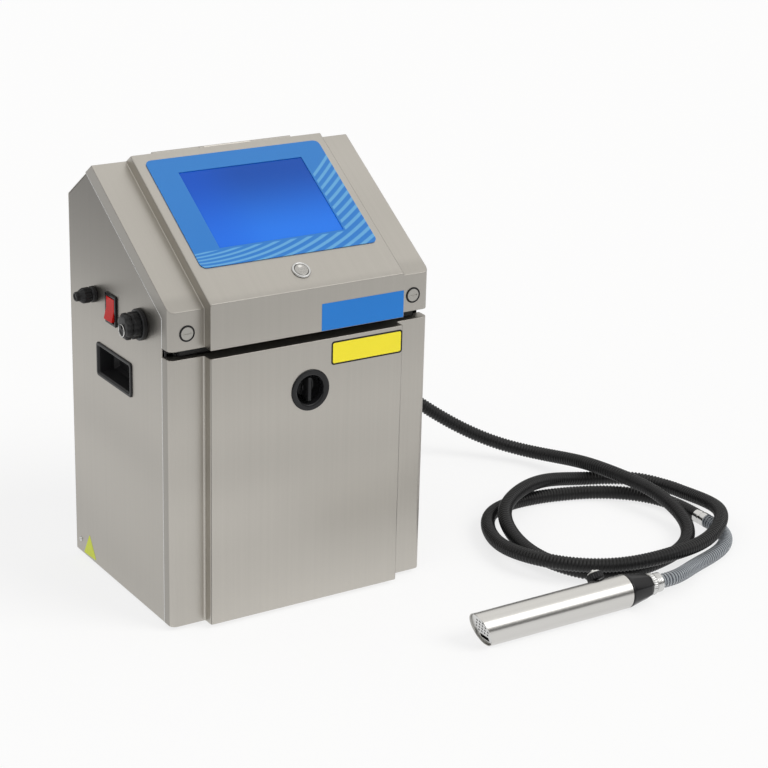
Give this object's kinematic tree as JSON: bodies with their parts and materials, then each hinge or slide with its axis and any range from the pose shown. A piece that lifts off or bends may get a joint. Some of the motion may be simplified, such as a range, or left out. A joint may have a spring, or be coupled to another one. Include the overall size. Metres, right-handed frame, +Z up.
{
  "type": "continuous inkjet date coder",
  "caption": "Stainless date code inkjet printer: cabinet with sloping touch panel lid and latched door, and a tubular print head on a long corrugated hose.",
  "frame": {"origin": "middle of the standing face under the base tray, on the floor", "axes": "+X to the cabinet's right, +Y to its back, +Z up; the door faces -Y"},
  "size_m": [0.8788, 0.7268, 0.5631],
  "materials": {
    "stainless_panel": "fine brushed stainless sheet",
    "bright_steel": "turned or polished stainless steel",
    "zinc_steel": "folded zinc-plated sheet",
    "cast_aluminium": "machined aluminium",
    "black_plastic": "fine matt black plastic",
    "black_rubber": "black rubber",
    "hose_black": "black corrugated hose",
    "hose_clear": "milky corrugated hose",
    "overlay_blue": "printed film, satin",
    "screen_glass": "glossy glass",
    "red_plastic": "glossy red plastic",
    "blue_plastic": "blue screw cap",
    "tank_white": "natural polyethylene",
    "board_green": "green circuit board",
    "brass_part": "machined brass"
  },
  "bodies": {
    "cabinet": {"left_side_panel": "stainless_panel", "right_side_panel": "stainless_panel", "rear_panel": "stainless_panel", "hose_ferrule": "bright_steel", "head_nut": "bright_steel", "head_chassis": "bright_steel", "nozzle_block": "bright_steel", "deflector_plate_upper": "bright_steel", "deflector_plate_lower": "bright_steel", "gutter_block": "bright_steel", "lid_hinge_pin": "bright_steel", "base_plate": "zinc_steel", "partition_shelf": "zinc_steel", "front_cross_rail": "zinc_steel", "door_pin_top": "zinc_steel", "door_pin_bottom": "zinc_steel", "lid_hinge_leaf_fixed": "zinc_steel", "pump_motor": "zinc_steel", "power_supply": "cast_aluminium", "valve_manifold": "cast_aluminium", "ink_pump": "cast_aluminium", "handle_cup_left": "black_plastic", "handle_cup_right": "black_plastic", "switch_bezel": "black_plastic", "cable_gland": "black_plastic", "sensor_socket": "black_plastic", "hose_gland": "black_plastic", "head_boss": "black_plastic", "fan_frame": "black_plastic", "ink_tank": "black_plastic", "lid_seal": "black_rubber", "umbilical_hose": "hose_black", "clear_hose": "hose_clear", "solvent_tank": "tank_white", "ink_filter": "tank_white", "control_board": "board_green", "charge_electrode": "brass_part"},
    "door": {"door": "stainless_panel", "latch_cup": "black_plastic"},
    "latch": {"latch_knob": "black_plastic", "latch_cam": "zinc_steel"},
    "lid": {"lid": "stainless_panel", "front_overlay": "overlay_blue", "touch_glass": "screen_glass", "display_module": "black_plastic", "button_ring": "bright_steel", "lid_hinge_leaf_moving": "zinc_steel"},
    "start_button": {"button_cap": "bright_steel"},
    "left_lock": {"lid_lock_left": "bright_steel"},
    "right_lock": {"lid_lock_right": "bright_steel"},
    "print_head_cover": {"head_cover": "bright_steel", "head_end_plate": "bright_steel"},
    "cover_thumbscrew": {"head_thumbscrew": "black_plastic"},
    "fan_wheel": {"fan_rotor": "black_plastic"},
    "ink_cap": {"ink_tank_cap": "blue_plastic"},
    "solvent_cap": {"solvent_tank_cap": "red_plastic"},
    "power_switch": {"switch_rocker": "red_plastic"},
    "dust_cap": {"socket_cap": "black_plastic", "cap_lanyard": "bright_steel"}
  },
  "joints": [
    {"name": "door_hinge", "type": "hinge", "parent": "cabinet", "child": "door", "pos_m": [-0.181, -0.1245, 0.183], "axis": [0, 0, -1], "range_deg": [0, 110]},
    {"name": "latch_turn", "type": "hinge", "parent": "door", "child": "latch", "pos_m": [0.002, -0.158, 0.2967], "axis": [0, -1, 0], "range_deg": [0, 90]},
    {"name": "lid_hinge", "type": "hinge", "parent": "cabinet", "child": "lid", "pos_m": [0, 0.06881, 0.55626], "axis": [-1, 0, 0], "range_deg": [0, 75]},
    {"name": "button_press", "type": "slide", "parent": "lid", "child": "start_button", "axis": [0, 0.5378, -0.8431], "range_m": [0, 0.002], "stiffness_N_per_m": 400, "springref_m": -0.002},
    {"name": "left_lock_turn", "type": "hinge", "parent": "lid", "child": "left_lock", "pos_m": [-0.161, -0.142, 0.392], "axis": [0, 1, 0], "range_deg": [0, 90]},
    {"name": "right_lock_turn", "type": "hinge", "parent": "lid", "child": "right_lock", "pos_m": [0.161, -0.142, 0.392], "axis": [0, -1, 0], "range_deg": [0, 90]},
    {"name": "head_cover_slide", "type": "slide", "parent": "cabinet", "child": "print_head_cover", "axis": [-1, 0, 0], "range_m": [0, 0.18]},
    {"name": "thumbscrew_turn", "type": "hinge", "parent": "print_head_cover", "child": "cover_thumbscrew", "pos_m": [0.324, -0.362, 0.0225], "axis": [0, 0.7071, 0.7071], "continuous": true},
    {"name": "fan_spin", "type": "hinge", "parent": "cabinet", "child": "fan_wheel", "pos_m": [-0.092, 0.13, 0.432], "axis": [0, 1, 0], "continuous": true},
    {"name": "ink_cap_turn", "type": "hinge", "parent": "cabinet", "child": "ink_cap", "pos_m": [0.092, -0.0416, 0.2], "axis": [0, 0, 1], "continuous": true},
    {"name": "solvent_cap_turn", "type": "hinge", "parent": "cabinet", "child": "solvent_cap", "pos_m": [-0.092, -0.0416, 0.2], "axis": [0, 0, 1], "continuous": true},
    {"name": "power_rocker", "type": "hinge", "parent": "cabinet", "child": "power_switch", "pos_m": [-0.1818, 0.0185, 0.379], "axis": [0, -1, 0], "range_deg": [0, 14]},
    {"name": "dust_cap_turn", "type": "hinge", "parent": "cabinet", "child": "dust_cap", "pos_m": [-0.2, -0.063, 0.384], "axis": [-1, 0, 0], "range_deg": [0, 90]}
  ]
}
